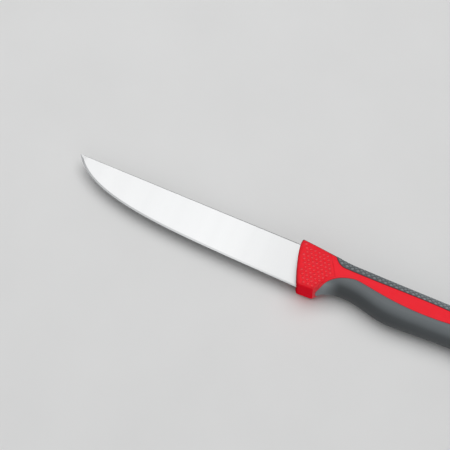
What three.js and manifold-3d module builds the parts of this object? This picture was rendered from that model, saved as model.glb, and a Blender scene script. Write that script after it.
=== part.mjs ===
// A vegetable knife: a stamped steel blade whose tang runs on inside the handle, a red plastic core
// moulded around the tang, and two soft grey grips moulded onto the core.
// Millimetres. X runs from the tip to the butt, Y from the cutting edge to the spine, Z up.
// The pieces are drawn with the spine on y = 0, the blade's middle plane on z = 0 and the front of the
// bolster at x = 0, and are moved together at the end so that the knife lies on z = 0.
import * as THREE from 'three';
import { mergeVertices } from 'three/addons/utils/BufferGeometryUtils.js';
import Module from 'manifold-3d';

// Blade
const BLADE_LENGTH = 140;
const HEEL_HEIGHT = 24.9;
const BELLY_HEIGHT = 22.4;
const BELLY_REACH = 76;
const TIP_REACH = 16;
const TIP_FALL = 25;
const SPINE_THICKNESS = 1.8;
const TIP_THICKNESS = 0.7;
const GROUND_THICKNESS = 0.6;
const EDGE_THICKNESS = 0.1;
const BEVEL_WIDTH = 1.1;
const SPINE_CHAMFER = 0.2;

// Tang
const TANG_LENGTH = 88;
const TANG_HEIGHT = 9.5;
const TANG_DEPTH = 10.2;
const HEEL_INSERT = 3;
const SPINE_INSERT = 0.6;
const SHOULDER_LENGTH = 6;
const LOCK_HOLE = 5;
const FRONT_HOLE_X = 34;
const REAR_HOLE_X = 66;

// Handle envelope: heights are measured from the spine line, lengths from the front of the bolster
const HANDLE_LENGTH = 128;
const HANDLE_THICKNESS = 18.4;
const BOLSTER_CROWN = 0.15;
const FLANK_CROWN = 0.5;
const BOLSTER_RISE = 1.2;
const BOLSTER_DROP = 25.9;
const BOLSTER_REAR_DROP = 25.6;
const BOLSTER_LENGTH = 17;
const BOLSTER_SLANT = 7.3;
const FRONT_ROUND = 0.8;
const BACK_DROP = 0.6;
const BACK_BLEND = 32;
const BACK_SHARPNESS = 1.3;
const NOTCH_X = 33.5;
const NOTCH_DROP = 19.7;
const PALM_X = 61;
const PALM_DROP = 24.4;
const WAIST_X = 100;
const WAIST_DROP = 22.9;
const HOOK_SETBACK = 12;
const HOOK_DROP = 25.4;
const BUTT_ROUND = 11;
const BUTT_BLUNTNESS = 0.8;
const NOTCH_SHARPNESS = 2.5;

// How square the cross-section is: 2 is an ellipse, higher is a rounded box
const BOLSTER_BACK_SQUARENESS = 6.2;
const BOLSTER_BELLY_SQUARENESS = 8;
const HANDLE_BACK_SQUARENESS = 2.4;
const HANDLE_BELLY_SQUARENESS = 2.3;
const BACK_ROUND_FROM = 34;
const BELLY_SOFT_FROM = 14;
const BELLY_ROUND_FROM = 21;

// Soft grips and the red strip left between them on each flank
const GRIP_WALL = 2.2;
const BACK_GRIP_START = 18.7;
const BACK_GRIP_SWEEP = 10.5;
const BELLY_GRIP_START = 18.9;
const BELLY_GRIP_LEAN = 3.2;
const STRIP_NECK_X = 36.7;
const STRIP_NECK_TOP = 6.5;
const STRIP_NECK_BOTTOM = 10.5;
const STRIP_MIDDLE_X = 76;
const STRIP_MIDDLE_TOP = 6;
const STRIP_MIDDLE_BOTTOM = 14.4;
const STRIP_END_X = 110;
const STRIP_END_TOP = 7.2;
const STRIP_END_BOTTOM = 11.8;
const BUTT_SHOW = 9;

// Fits
const SEAM = 0.3;
const TANG_CLEARANCE = 0.3;

const STEEL = { color: 0xd9dcdd, roughness: 0.25, metalness: 1 };
const RED_PLASTIC = { color: 0xd42330, roughness: 0.4, metalness: 0 };
const GREY_RUBBER = { color: 0x4b5254, roughness: 0.75, metalness: 0 };

const wasm = await Module();
wasm.setup();

const HALF_THICKNESS = HANDLE_THICKNESS / 2;
const HOOK_X = HANDLE_LENGTH - HOOK_SETBACK;
const ease = (x, from, to) => THREE.MathUtils.smoothstep(x, from, to);
const mix = THREE.MathUtils.lerp;

// A closed body that can be joined and cut, from a geometry whose shared corners are merged first
function solid(geometry) {
  geometry.deleteAttribute('normal');
  geometry.deleteAttribute('uv');
  const merged = mergeVertices(geometry, 1e-5);
  const mesh = new wasm.Mesh({
    numProp: 3,
    vertProperties: new Float32Array(merged.attributes.position.array),
    triVerts: new Uint32Array(merged.index.array),
  });
  return new wasm.Manifold(mesh);
}

function piece(name, body, look) {
  const mesh = body.getMesh();
  const geometry = new THREE.BufferGeometry();
  geometry.setAttribute('position', new THREE.BufferAttribute(mesh.vertProperties, 3));
  geometry.setIndex(new THREE.BufferAttribute(mesh.triVerts, 1));
  const faceted = geometry.toNonIndexed();
  faceted.computeVertexNormals();
  const part = new THREE.Mesh(faceted, new THREE.MeshStandardMaterial(look));
  part.name = name;
  return part;
}

// A plan outline made into a plate that is centred on z = 0
function plate(points, thickness, holes = []) {
  const shape = new THREE.Shape(points);
  for (const hole of holes) {
    shape.holes.push(new THREE.Path().absarc(hole.x, hole.y, hole.radius, 0, 2 * Math.PI));
  }
  const options = { depth: thickness, bevelEnabled: false, curveSegments: 16 };
  return solid(new THREE.ExtrudeGeometry(shape, options).translate(0, 0, -thickness / 2));
}

// The same outline, counter-clockwise, moved outwards by a distance
function grown(points, distance) {
  const count = points.length;
  return points.map((point, i) => {
    const before = points[(i + count - 1) % count];
    const after = points[(i + 1) % count];
    const arriving = point.clone().sub(before).normalize();
    const leaving = after.clone().sub(point).normalize();
    const outArriving = new THREE.Vector2(arriving.y, -arriving.x);
    const outLeaving = new THREE.Vector2(leaving.y, -leaving.x);
    const corner = outArriving.add(outLeaving).normalize();
    const miter = Math.max(corner.dot(outLeaving), 0.5);
    return point.clone().addScaledVector(corner, distance / miter);
  });
}

// Closed rings of points joined into a tube. Each ring starts at the back, goes down the upper flank
// and returns up the lower one, so that both ends can be closed by strips from flank to flank.
function tube(rings) {
  const size = rings[0].length;
  const index = [];
  rings.slice(1).forEach((_, r) => {
    for (let k = 0; k < size; k += 1) {
      const a = r * size + k;
      const b = r * size + ((k + 1) % size);
      index.push(a, b, a + size, b, b + size, a + size);
    }
  });
  const last = (rings.length - 1) * size;
  for (let k = 0; k < size / 2; k += 1) {
    const upper = k;
    const upperNext = k + 1;
    const lower = (size - k) % size;
    const lowerNext = size - k - 1;
    index.push(upper, lowerNext, upperNext, upper, lower, lowerNext);
    index.push(last + upper, last + upperNext, last + lowerNext);
    index.push(last + upper, last + lowerNext, last + lower);
  }
  const geometry = new THREE.BufferGeometry();
  geometry.setAttribute('position', new THREE.Float32BufferAttribute(rings.flat(2), 3));
  geometry.setIndex(index);
  return solid(geometry.toNonIndexed());
}

// Where the front of the bolster lies at height y: square to the spine at the top, swept back below
const SWEEP_TOP = -2;
const SWEEP_CURVE = 1.5;

function sweep(y) {
  const share = Math.max(SWEEP_TOP - y, 0) / (SWEEP_TOP + BOLSTER_DROP);
  return BOLSTER_SLANT * share ** SWEEP_CURVE;
}

// The blade: a ring at each station along the edge curve, from the tip to just inside the bolster.
// Its ground faces are flat, thinning to the edge and to the tip, and the bevel finishes the edge.
const EDGE = new THREE.CubicBezierCurve(
  new THREE.Vector2(-BLADE_LENGTH, 0),
  new THREE.Vector2(TIP_REACH - BLADE_LENGTH, -TIP_FALL),
  new THREE.Vector2(BELLY_REACH - BLADE_LENGTH, -BELLY_HEIGHT),
  new THREE.Vector2(sweep(-HEEL_HEIGHT), -HEEL_HEIGHT),
);
const HEEL_BEVEL_Y = BEVEL_WIDTH - HEEL_HEIGHT;
const TIP_TAPER = (SPINE_THICKNESS - TIP_THICKNESS) / 2 / BLADE_LENGTH;
const EDGE_TAPER = (SPINE_THICKNESS - GROUND_THICKNESS) / 2 / -HEEL_BEVEL_Y;
const groundHalf = (x, y) => SPINE_THICKNESS / 2 + TIP_TAPER * x + EDGE_TAPER * y;

// Each ring leans back by the bolster's sweep, so the last one ends along the bolster's front
const LEAN_START = -30;
const COLLAR = 0.2;
const EDGE_STATIONS = 44;
const TIP_CROWDING = 1.5;
const TIP_BLUNTNESS = 0.3;
const TIP_CHAMFER_SHARE = 0.02;
const TIP_BEVEL_SHARE = 0.4;
const TIP_SLIMNESS = 0.07;

function bladeRing(share) {
  const edgePoint = EDGE.getPoint(share);
  const slant = 1 / EDGE.getTangent(share).x;
  const height = -edgePoint.y;
  const lean = ease(edgePoint.x, LEAN_START, sweep(-HEEL_HEIGHT));
  const station = edgePoint.x - lean * sweep(edgePoint.y);
  const at = (y) => station + lean * sweep(y);
  const chamfer = Math.min(SPINE_CHAMFER, height * TIP_CHAMFER_SHARE);
  const bevel = Math.min(BEVEL_WIDTH * slant, height * TIP_BEVEL_SHARE);
  const bevelY = edgePoint.y + bevel;
  const slim = EDGE_THICKNESS / 2 + height * TIP_SLIMNESS;
  const chamferZ = Math.min(groundHalf(at(-chamfer), -chamfer), slim);
  const bevelZ = Math.min(groundHalf(at(bevelY), bevelY), slim);
  const upper = [
    [at(0), 0, chamferZ - chamfer],
    [at(-chamfer), -chamfer, chamferZ],
    [at(bevelY), bevelY, bevelZ],
    [at(edgePoint.y), edgePoint.y, EDGE_THICKNESS / 2],
  ];
  const lower = upper.map(([x, y, z]) => [x, y, -z]).reverse();
  const spine = [at(0), 0, 0];
  const edge = [at(edgePoint.y), edgePoint.y, 0];
  return [spine, ...upper, edge, ...lower];
}

function groundBlade() {
  const rings = [];
  for (let i = 1; i <= EDGE_STATIONS; i += 1) {
    rings.push(bladeRing((i / EDGE_STATIONS) ** TIP_CROWDING));
  }
  const tip = rings[0].map(([, y, z]) => [-BLADE_LENGTH, y * TIP_BLUNTNESS, z * TIP_BLUNTNESS]);
  const inside = rings[rings.length - 1].map(([x, y, z]) => [x + 2 * COLLAR, y, z]);
  return tube([tip, ...rings, inside]);
}

// The tang: full sheet thickness from the bolster's front on, stepping in to a narrow bar with lock holes
const FRONT_POINTS = 10;

function tangOutline() {
  const middle = -TANG_DEPTH;
  const top = middle + TANG_HEIGHT / 2;
  const bottom = middle - TANG_HEIGHT / 2;
  const heelX = sweep(-HEEL_HEIGHT);
  const outline = new THREE.Path();
  outline.moveTo(-COLLAR, 0);
  for (let i = 1; i <= FRONT_POINTS; i += 1) {
    const y = (-HEEL_HEIGHT * i) / FRONT_POINTS;
    outline.lineTo(sweep(y) - COLLAR, y);
  }
  outline.lineTo(heelX + HEEL_INSERT, -HEEL_HEIGHT);
  outline.bezierCurveTo(
    heelX + HEEL_INSERT + SHOULDER_LENGTH / 3, (bottom - HEEL_HEIGHT) / 2,
    heelX + HEEL_INSERT + SHOULDER_LENGTH / 3, bottom,
    heelX + HEEL_INSERT + SHOULDER_LENGTH, bottom,
  );
  outline.lineTo(TANG_LENGTH - TANG_HEIGHT / 2, bottom);
  outline.absarc(TANG_LENGTH - TANG_HEIGHT / 2, middle, TANG_HEIGHT / 2, -Math.PI / 2, Math.PI / 2);
  outline.lineTo(SPINE_INSERT + SHOULDER_LENGTH, top);
  outline.bezierCurveTo(
    SPINE_INSERT + SHOULDER_LENGTH / 3, top,
    SPINE_INSERT + SHOULDER_LENGTH / 3, top / 2,
    SPINE_INSERT, 0,
  );
  return distinct(outline.getPoints(6));
}

// The outline without repeated neighbours
function distinct(points) {
  return points.filter((point, i) => {
    const before = points[(i + points.length - 1) % points.length];
    return point.distanceTo(before) > 1e-3;
  });
}

const LOCK_CENTRES = [FRONT_HOLE_X, REAR_HOLE_X].map((x) => new THREE.Vector2(x, -TANG_DEPTH));
const lockHoles = LOCK_CENTRES.map(({ x, y }) => ({ x, y, radius: LOCK_HOLE / 2 }));
const lockPegs = lockHoles.map(({ x, y, radius }) => ({ x, y, radius: radius - TANG_CLEARANCE }));
const TANG = tangOutline();
const blade = groundBlade().add(plate(TANG, SPINE_THICKNESS, lockHoles));
const tangPocket = plate(grown(TANG, TANG_CLEARANCE), SPINE_THICKNESS + 2 * TANG_CLEARANCE, lockPegs);

// The handle envelope: back and belly lines, half thickness and squareness at each station
function backLine(x) {
  const remaining = THREE.MathUtils.clamp(1 - x / BACK_BLEND, 0, 1);
  return mix(-BACK_DROP, BOLSTER_RISE, remaining ** BACK_SHARPNESS);
}

function bellyLine(x) {
  if (x <= BOLSTER_LENGTH) {
    return -mix(BOLSTER_DROP, BOLSTER_REAR_DROP, THREE.MathUtils.clamp(x / BOLSTER_LENGTH, 0, 1));
  }
  if (x <= NOTCH_X) {
    const remaining = (NOTCH_X - x) / (NOTCH_X - BOLSTER_LENGTH);
    return -mix(NOTCH_DROP, BOLSTER_REAR_DROP, remaining ** NOTCH_SHARPNESS);
  }
  if (x <= PALM_X) {
    return -mix(NOTCH_DROP, PALM_DROP, ease(x, NOTCH_X, PALM_X));
  }
  if (x <= WAIST_X) {
    return -mix(PALM_DROP, WAIST_DROP, ease(x, PALM_X, WAIST_X));
  }
  return -mix(WAIST_DROP, HOOK_DROP, ease(x, WAIST_X, HOOK_X));
}

// A ring of the envelope; its points gather where the section turns from flank to back and belly
function handleRing(x, inset, shrink, swept, halfRing) {
  const back = backLine(x) - inset;
  const belly = bellyLine(x) + inset;
  const middle = (back + belly) / 2;
  const half = ((back - belly) / 2) * shrink;
  const swell = mix(BOLSTER_CROWN, FLANK_CROWN, ease(x, BOLSTER_LENGTH, PALM_X));
  const crown = (HALF_THICKNESS + swell - inset) * shrink;
  const flank = HALF_THICKNESS - inset;
  const rounder = ease(x, FRONT_ROUND, BACK_ROUND_FROM);
  const backSquareness = mix(BOLSTER_BACK_SQUARENESS, HANDLE_BACK_SQUARENESS, rounder);
  const notchStart = ease(x, BELLY_SOFT_FROM, BELLY_ROUND_FROM);
  const bellySquareness = mix(BOLSTER_BELLY_SQUARENESS, HANDLE_BELLY_SQUARENESS, notchStart);
  const upper = [];
  for (let k = 0; k <= halfRing; k += 1) {
    const angle = (Math.PI * k) / halfRing;
    const power = 2 / (k < halfRing / 2 ? backSquareness : bellySquareness);
    const across = Math.cos(angle);
    const y = middle + half * Math.sign(across) * Math.abs(across) ** power;
    const z = k % halfRing === 0 ? 0 : Math.min(crown * Math.sin(angle) ** power, flank);
    upper.push([x + swept * sweep(y), y, z]);
  }
  const lower = upper.slice(1, -1).map(([px, py, pz]) => [px, py, -pz]).reverse();
  return [...upper, ...lower];
}

// Stations from one end to just before the other, at about the given step
function spaced(from, to, step) {
  const count = Math.max(1, Math.round((to - from) / step));
  return Array.from({ length: count }, (_, i) => mix(from, to, i / count));
}

// The rounded front and butt are drawn by rings that close in along a quarter circle
const ROUND_STEPS = 3;
const POLE_GAP = 0.22;

function envelope(inset, { halfRing, stationStep, buttSteps }) {
  const rings = [];
  for (let i = 0; i < ROUND_STEPS; i += 1) {
    const turn = (Math.PI / 2) * (i / ROUND_STEPS);
    const x = inset + FRONT_ROUND * (1 - Math.cos(turn));
    const rounding = FRONT_ROUND * (1 - Math.sin(turn));
    rings.push(handleRing(x, inset + rounding, 1, 1, halfRing));
  }
  const buttStart = HANDLE_LENGTH - BUTT_ROUND;
  const stations = [
    ...spaced(inset + FRONT_ROUND, BOLSTER_LENGTH, stationStep),
    ...spaced(BOLSTER_LENGTH, NOTCH_X, stationStep / 2),
    ...spaced(NOTCH_X, buttStart, stationStep),
  ];
  for (const x of stations) {
    const swept = 1 - ease(x, FRONT_ROUND, BOLSTER_LENGTH - FRONT_ROUND);
    rings.push(handleRing(x, inset, 1, swept, halfRing));
  }
  const reach = BUTT_ROUND - inset;
  for (let i = 0; i <= buttSteps; i += 1) {
    const turn = (Math.PI / 2) * (i / (buttSteps + POLE_GAP));
    const x = buttStart + reach * Math.sin(turn);
    rings.push(handleRing(x, inset, Math.cos(turn) ** BUTT_BLUNTNESS, 0, halfRing));
  }
  return tube(rings);
}

// Plan outlines of the two soft grips, reaching well past the handle on their open side.
// Each border is a run of curves that lies along the strip at its neck, middle and end.
const BEYOND = 12;
const NECK_EASE = 5.5;
const END_EASE = 10;
const STRIP_EASE = (STRIP_MIDDLE_X - STRIP_NECK_X) / 2;
const GRIP_END = HANDLE_LENGTH - BUTT_SHOW;

function backGripOutline() {
  const startY = backLine(BACK_GRIP_START) + SEAM;
  const bend = BACK_GRIP_START + BACK_GRIP_SWEEP / 3;
  const outline = new THREE.Path();
  outline.moveTo(BACK_GRIP_START, startY);
  outline.bezierCurveTo(
    bend, startY, bend, -STRIP_NECK_TOP,
    BACK_GRIP_START + BACK_GRIP_SWEEP, -STRIP_NECK_TOP,
  );
  outline.lineTo(STRIP_NECK_X, -STRIP_NECK_TOP);
  outline.bezierCurveTo(
    STRIP_NECK_X + STRIP_EASE, -STRIP_NECK_TOP, STRIP_MIDDLE_X - STRIP_EASE, -STRIP_MIDDLE_TOP,
    STRIP_MIDDLE_X, -STRIP_MIDDLE_TOP,
  );
  outline.bezierCurveTo(
    STRIP_MIDDLE_X + STRIP_EASE, -STRIP_MIDDLE_TOP, STRIP_END_X - END_EASE, -STRIP_END_TOP,
    STRIP_END_X, -STRIP_END_TOP,
  );
  outline.bezierCurveTo(
    STRIP_END_X + NECK_EASE, -STRIP_END_TOP, GRIP_END, -STRIP_END_TOP / 2,
    GRIP_END, backLine(GRIP_END),
  );
  outline.lineTo(GRIP_END, BEYOND);
  outline.lineTo(BACK_GRIP_START, BEYOND);
  return distinct(outline.getPoints(10));
}

function bellyGripOutline() {
  const outline = new THREE.Path();
  outline.moveTo(GRIP_END, -HOOK_DROP - BEYOND);
  outline.lineTo(GRIP_END, -HOOK_DROP);
  outline.bezierCurveTo(
    GRIP_END, -STRIP_END_BOTTOM - NECK_EASE, STRIP_END_X + NECK_EASE, -STRIP_END_BOTTOM,
    STRIP_END_X, -STRIP_END_BOTTOM,
  );
  outline.bezierCurveTo(
    STRIP_END_X - END_EASE, -STRIP_END_BOTTOM, STRIP_MIDDLE_X + STRIP_EASE, -STRIP_MIDDLE_BOTTOM,
    STRIP_MIDDLE_X, -STRIP_MIDDLE_BOTTOM,
  );
  outline.bezierCurveTo(
    STRIP_MIDDLE_X - STRIP_EASE, -STRIP_MIDDLE_BOTTOM, STRIP_NECK_X + NECK_EASE, -STRIP_NECK_BOTTOM,
    STRIP_NECK_X, -STRIP_NECK_BOTTOM,
  );
  outline.bezierCurveTo(
    STRIP_NECK_X - BELLY_GRIP_LEAN, -STRIP_NECK_BOTTOM,
    BELLY_GRIP_START + BELLY_GRIP_LEAN, -STRIP_NECK_BOTTOM - BELLY_GRIP_LEAN,
    BELLY_GRIP_START, bellyLine(BELLY_GRIP_START) - SEAM,
  );
  outline.lineTo(BELLY_GRIP_START, -HOOK_DROP - BEYOND);
  return distinct(outline.getPoints(10));
}

// The core keeps the envelope wherever no grip lies, and shrinks to a rib under the grips
const ACROSS = HANDLE_THICKNESS * 2;
const BACK_OUTLINE = backGripOutline();
const BELLY_OUTLINE = bellyGripOutline();
const OUTSIDE = { halfRing: 18, stationStep: 3.2, buttSteps: 7 };
const HIDDEN = { halfRing: 10, stationStep: 4, buttSteps: 4 };
const handle = envelope(0, OUTSIDE);
const rib = envelope(GRIP_WALL, HIDDEN);
const ribRoom = envelope(GRIP_WALL - SEAM, HIDDEN);
const core = handle
  .subtract(plate(grown(BACK_OUTLINE, SEAM), ACROSS))
  .subtract(plate(grown(BELLY_OUTLINE, SEAM), ACROSS))
  .add(rib)
  .subtract(tangPocket);
const backGrip = handle.intersect(plate(BACK_OUTLINE, ACROSS)).subtract(ribRoom);
const bellyGrip = handle.intersect(plate(BELLY_OUTLINE, ACROSS)).subtract(ribRoom);

const knife = new THREE.Group();
knife.name = 'vegetable_knife';
knife.add(piece('blade', blade, STEEL));
knife.add(piece('handle_core', core, RED_PLASTIC));
knife.add(piece('back_grip', backGrip, GREY_RUBBER));
knife.add(piece('belly_grip', bellyGrip, GREY_RUBBER));

// The knife lies on its flank on z = 0, its bounding box centred on x = 0 and y = 0
const box = new THREE.Box3().setFromObject(knife);
const centre = box.getCenter(new THREE.Vector3());
for (const part of knife.children) {
  part.geometry.translate(-centre.x, -centre.y, -box.min.z);
}

export default knife;
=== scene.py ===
import bpy
import bmesh
import math
import numpy as np
from functools import partial
from mathutils import Matrix, Vector


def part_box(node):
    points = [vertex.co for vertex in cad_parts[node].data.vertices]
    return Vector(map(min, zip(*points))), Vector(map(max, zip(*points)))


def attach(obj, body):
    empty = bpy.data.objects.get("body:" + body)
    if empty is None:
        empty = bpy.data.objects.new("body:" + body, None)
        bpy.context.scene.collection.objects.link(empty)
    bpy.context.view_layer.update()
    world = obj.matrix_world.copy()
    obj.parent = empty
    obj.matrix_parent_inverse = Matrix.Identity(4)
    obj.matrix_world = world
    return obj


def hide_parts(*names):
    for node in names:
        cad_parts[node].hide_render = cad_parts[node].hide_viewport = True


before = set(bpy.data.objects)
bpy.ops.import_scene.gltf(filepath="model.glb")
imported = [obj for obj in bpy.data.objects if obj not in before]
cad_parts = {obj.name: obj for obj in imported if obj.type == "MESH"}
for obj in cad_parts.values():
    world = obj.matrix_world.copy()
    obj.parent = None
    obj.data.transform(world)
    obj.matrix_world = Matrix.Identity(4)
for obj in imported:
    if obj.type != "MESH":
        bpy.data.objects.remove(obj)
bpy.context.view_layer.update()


# Camera: looks steeply down on the knife from beyond its edge side, a little towards the butt,
# so the blade runs to the upper left and the butt leaves the picture on the right.
# The knife is drawn in millimetres from the bolster's front, the spine and the blade's middle plane.
MM = 0.001
CAMERA_AZIMUTH = math.radians(24.153)
CAMERA_ELEVATION = math.radians(67)
CAMERA_AIM = (-45.08, -6.66, 0.11)
CAMERA_DISTANCE = 969.23 * MM
LENS = 135.87
FILM_WIDTH = 36
core_low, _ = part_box("handle_core")
blade_low, blade_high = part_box("blade")
START = np.array((core_low.x, blade_high.y, (blade_low.z + blade_high.z) / 2))


def in_place(points):
    """Points of the drawing, in millimetres, brought to the frame, in metres."""
    return np.asarray(points, dtype=float) * MM + START


aim = Vector(in_place(CAMERA_AIM))
tilt = Matrix.Rotation(math.pi / 2 - CAMERA_ELEVATION, 3, "X")
facing = Matrix.Rotation(CAMERA_AZIMUTH, 3, "Z") @ tilt
camera = bpy.data.objects.new("camera", bpy.data.cameras.new("camera"))
camera.data.lens = LENS
camera.data.sensor_width = FILM_WIDTH
camera.matrix_world = Matrix.LocRotScale(aim + facing.col[2] * CAMERA_DISTANCE, facing, None)
bpy.context.scene.collection.objects.link(camera)
bpy.context.scene.camera = camera
bpy.context.scene.view_settings.view_transform = "Standard"


# Studio light: one wide soft box over the knife and a little behind it, where the flat of the blade
# mirrors it to the camera, a weak fill from the front and a dim pale room around them. The steel
# mirrors the room's walls brighter than they light it, so that it looks like steel from every side.
LIGHT_DISTANCE = 1.1
SOFT_BOX_TOWARDS = Vector((-0.11, 0.18, 0.977))
SOFT_BOX_SIZE = (1.4, 1.0)
SOFT_BOX_POWER = 11.3
FRONT_FILL_TOWARDS = Vector((0.45, -0.71, 0.54))
FRONT_FILL_SIZE = (1.2, 0.8)
FRONT_FILL_POWER = 1.9
ROOM_TINT = (0.95, 0.97, 1.0, 1)
ROOM_LIGHT = 0.165
ROOM_GLEAM = 0.72


def feed(tree, made, inputs):
    """Gives the inputs of a node, by name or number, their sockets or plain values."""
    for key, value in inputs.items():
        if isinstance(value, bpy.types.NodeSocket):
            tree.links.new(value, made.inputs[key])
        else:
            made.inputs[key].default_value = value


def node(tree, kind, inputs, result=0, **settings):
    """A new node, set and fed; gives one of its results, or all of them for None."""
    made = tree.nodes.new(kind)
    for setting, value in settings.items():
        setattr(made, setting, value)
    feed(tree, made, inputs)
    return made.outputs if result is None else made.outputs[result]


def reckon(tree, operation, *values):
    """One sum on sockets or plain numbers; gives its result."""
    return node(tree, "ShaderNodeMath", dict(enumerate(values)), operation=operation)


def spread(tree, value, low, high):
    """A value from 0 to 1 brought to the range from low to high."""
    return reckon(tree, "MULTIPLY_ADD", value, high - low, low)


for name, towards, (width, depth), power in (
    ("soft_box", SOFT_BOX_TOWARDS, SOFT_BOX_SIZE, SOFT_BOX_POWER),
    ("front_fill", FRONT_FILL_TOWARDS, FRONT_FILL_SIZE, FRONT_FILL_POWER),
):
    light = bpy.data.objects.new(name, bpy.data.lights.new(name, "AREA"))
    light.data.shape = "RECTANGLE"
    light.data.size = width
    light.data.size_y = depth
    light.data.energy = power
    light.location = aim + towards * LIGHT_DISTANCE
    light.rotation_euler = towards.to_track_quat("Z", "Y").to_euler()
    bpy.context.scene.collection.objects.link(light)

room = bpy.data.worlds.new("room")
room.use_nodes = True
walls = room.node_tree
mirrored_ray = node(walls, "ShaderNodeLightPath", {}, "Is Glossy Ray")
feed(walls, walls.nodes["Background"], {
    "Color": ROOM_TINT,
    "Strength": spread(walls, mirrored_ray, ROOM_LIGHT, ROOM_GLEAM),
})
bpy.context.scene.world = room


# Floor: a plain pale grey table top under the knife, dry and matt, with a faint uneven tone.
# It isn't part of the knife.
FLOOR_REACH = 4.0
FLOOR_DROP = 0.05 * MM
FLOOR_GREYS = ((0.72, 0.72, 0.715, 1), (0.78, 0.78, 0.775, 1))
FLOOR_GRAIN = 1.5 * MM
FLOOR_BLOTCH = 60 * MM
FLOOR_ROUGHNESS = (0.75, 0.9)
FLOOR_BUMP = 0.05 * MM
FLOOR_BUMP_STRENGTH = 0.4
GRAIN_DETAIL = 2.0
BLOTCH_DETAIL = 4.0


def tint(tree, share, first, second):
    """A colour between two others, each a plain colour or a socket."""
    # Inputs 6 and 7 of a Mix node, and its output 2, are those for colours
    return node(tree, "ShaderNodeMix", {"Factor": share, 6: first, 7: second}, 2, data_type="RGBA")


def step_between(tree, value, low, high):
    """A smooth step from 0 where the value is low to 1 where it is high."""
    limits = {"Value": value, "From Min": low, "From Max": high}
    return node(tree, "ShaderNodeMapRange", limits, interpolation_type="SMOOTHSTEP")


def new_tree(name, kind, inputs, outputs):
    """An empty node tree with named sockets; gives the tree, its inputs and its end."""
    tree = bpy.data.node_groups.new(name, kind)
    for in_out, sockets in (("INPUT", inputs), ("OUTPUT", outputs)):
        for title, socket in sockets.items():
            tree.interface.new_socket(title, in_out=in_out, socket_type=f"NodeSocket{socket}")
    return tree, tree.nodes.new("NodeGroupInput").outputs, tree.nodes.new("NodeGroupOutput")


def mottle_group():
    """Fine grain and broad blotches, shared by every finish here."""
    group, given, end = new_tree(
        "mottle", "ShaderNodeTree",
        {"Place": "Vector", "Grain Size": "Float", "Blotch Size": "Float"},
        {"Grain": "Float", "Blotch": "Float"},
    )
    for name, detail in (("Grain", GRAIN_DETAIL), ("Blotch", BLOTCH_DETAIL)):
        scale = reckon(group, "DIVIDE", 1.0, given[f"{name} Size"])
        inputs = {"Vector": given["Place"], "Scale": scale, "Detail": detail}
        feed(group, end, {name: node(group, "ShaderNodeTexNoise", inputs)})
    return group


MOTTLE = mottle_group()


def new_finish(name):
    """An empty material with its shader; gives the material, its tree and the shader."""
    material = bpy.data.materials.new(name)
    material.use_nodes = True
    return material, material.node_tree, material.node_tree.nodes["Principled BSDF"]


def own_place(tree, result="Object"):
    """Where a point lies on the piece itself, or which way it faces there."""
    return node(tree, "ShaderNodeTexCoord", {}, result)


def mottle(tree, grain_size, blotch_size, stretch=(1, 1, 1)):
    """The shared grain on a piece, sized in metres; gives its grain and its blotches."""
    stretched = node(tree, "ShaderNodeMapping", {"Vector": own_place(tree), "Scale": stretch})
    inputs = {"Place": stretched, "Grain Size": grain_size, "Blotch Size": blotch_size}
    made = node(tree, "ShaderNodeGroup", inputs, None, node_tree=MOTTLE)
    return made["Grain"], made["Blotch"]


def raise_grain(tree, shader, height, depth, strength):
    """A bump of a real depth in metres from a height that runs from 0 to 1."""
    bump = node(tree, "ShaderNodeBump", {"Height": height, "Distance": depth, "Strength": strength})
    feed(tree, shader, {"Normal": bump})


def floor_finish():
    material, tree, shader = new_finish("pale_table")
    grain, blotch = mottle(tree, FLOOR_GRAIN, FLOOR_BLOTCH)
    feed(tree, shader, {
        "Base Color": tint(tree, blotch, *FLOOR_GREYS),
        "Roughness": spread(tree, grain, *FLOOR_ROUGHNESS),
    })
    raise_grain(tree, shader, grain, FLOOR_BUMP, FLOOR_BUMP_STRENGTH)
    return material


def piece_from(name, points, faces, material=None):
    """A mesh object at the origin, linked to the scene."""
    mesh = bpy.data.meshes.new(name)
    mesh.from_pydata([tuple(point) for point in points], [], faces)
    if material:
        mesh.materials.append(material)
    made = bpy.data.objects.new(name, mesh)
    bpy.context.scene.collection.objects.link(made)
    return made


floor_corners = [
    (x * FLOOR_REACH, y * FLOOR_REACH, -FLOOR_DROP) for x, y in ((-1, -1), (1, -1), (1, 1), (-1, 1))
]
piece_from("table_top", floor_corners, [(0, 1, 2, 3)], floor_finish())


# Blade: stamped from one stainless sheet, ground flat on both sides so that it thins evenly to the
# edge and to the tip, with its spine edges eased and the edge finished by a narrow bevel.
# Its tang, left at the full thickness of the sheet, runs on inside the handle.
BLADE_LENGTH = 140
HEEL_HEIGHT = 24.9
BELLY_HEIGHT = 22.4
BELLY_REACH = 76
TIP_REACH = 16
TIP_FALL = 25
SPINE_THICKNESS = 1.8
TIP_THICKNESS = 0.7
GROUND_THICKNESS = 0.6
EDGE_THICKNESS = 0.1
BEVEL_WIDTH = 1.15
HEEL_BEVEL_WIDTH = 0.85
SPINE_ROUND_SHARE = 0.8
TIP_ROUND_SHARE = 0.04
TIP_BEVEL_SHARE = 0.5
TIP_POINT_SHARE = 0.3
TIP_SLIMNESS = 0.05
LEAN_START = -30
BLADE_STATIONS = 220
TIP_CROWDING = 1.7
FACE_ROWS = 14
BEVEL_ROWS = 3
SPINE_ROWS = 5
BLADE_CREASE = 9
TANG_LENGTH = 88
TANG_HEIGHT = 9.5
TANG_DEPTH = 10.2
TANG_END_STEPS = 8
TANG_END_TURN = 0.97
HEEL_COVER = 1
HEEL_INSERT = 3
SHOULDER_LENGTH = 6
BOLSTER_SLANT = 7.3
BOLSTER_DROP = 25.9
SWEEP_TOP = -2
SWEEP_CURVE = 1.5
MERGE_REACH = 0.0005 * MM
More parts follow.
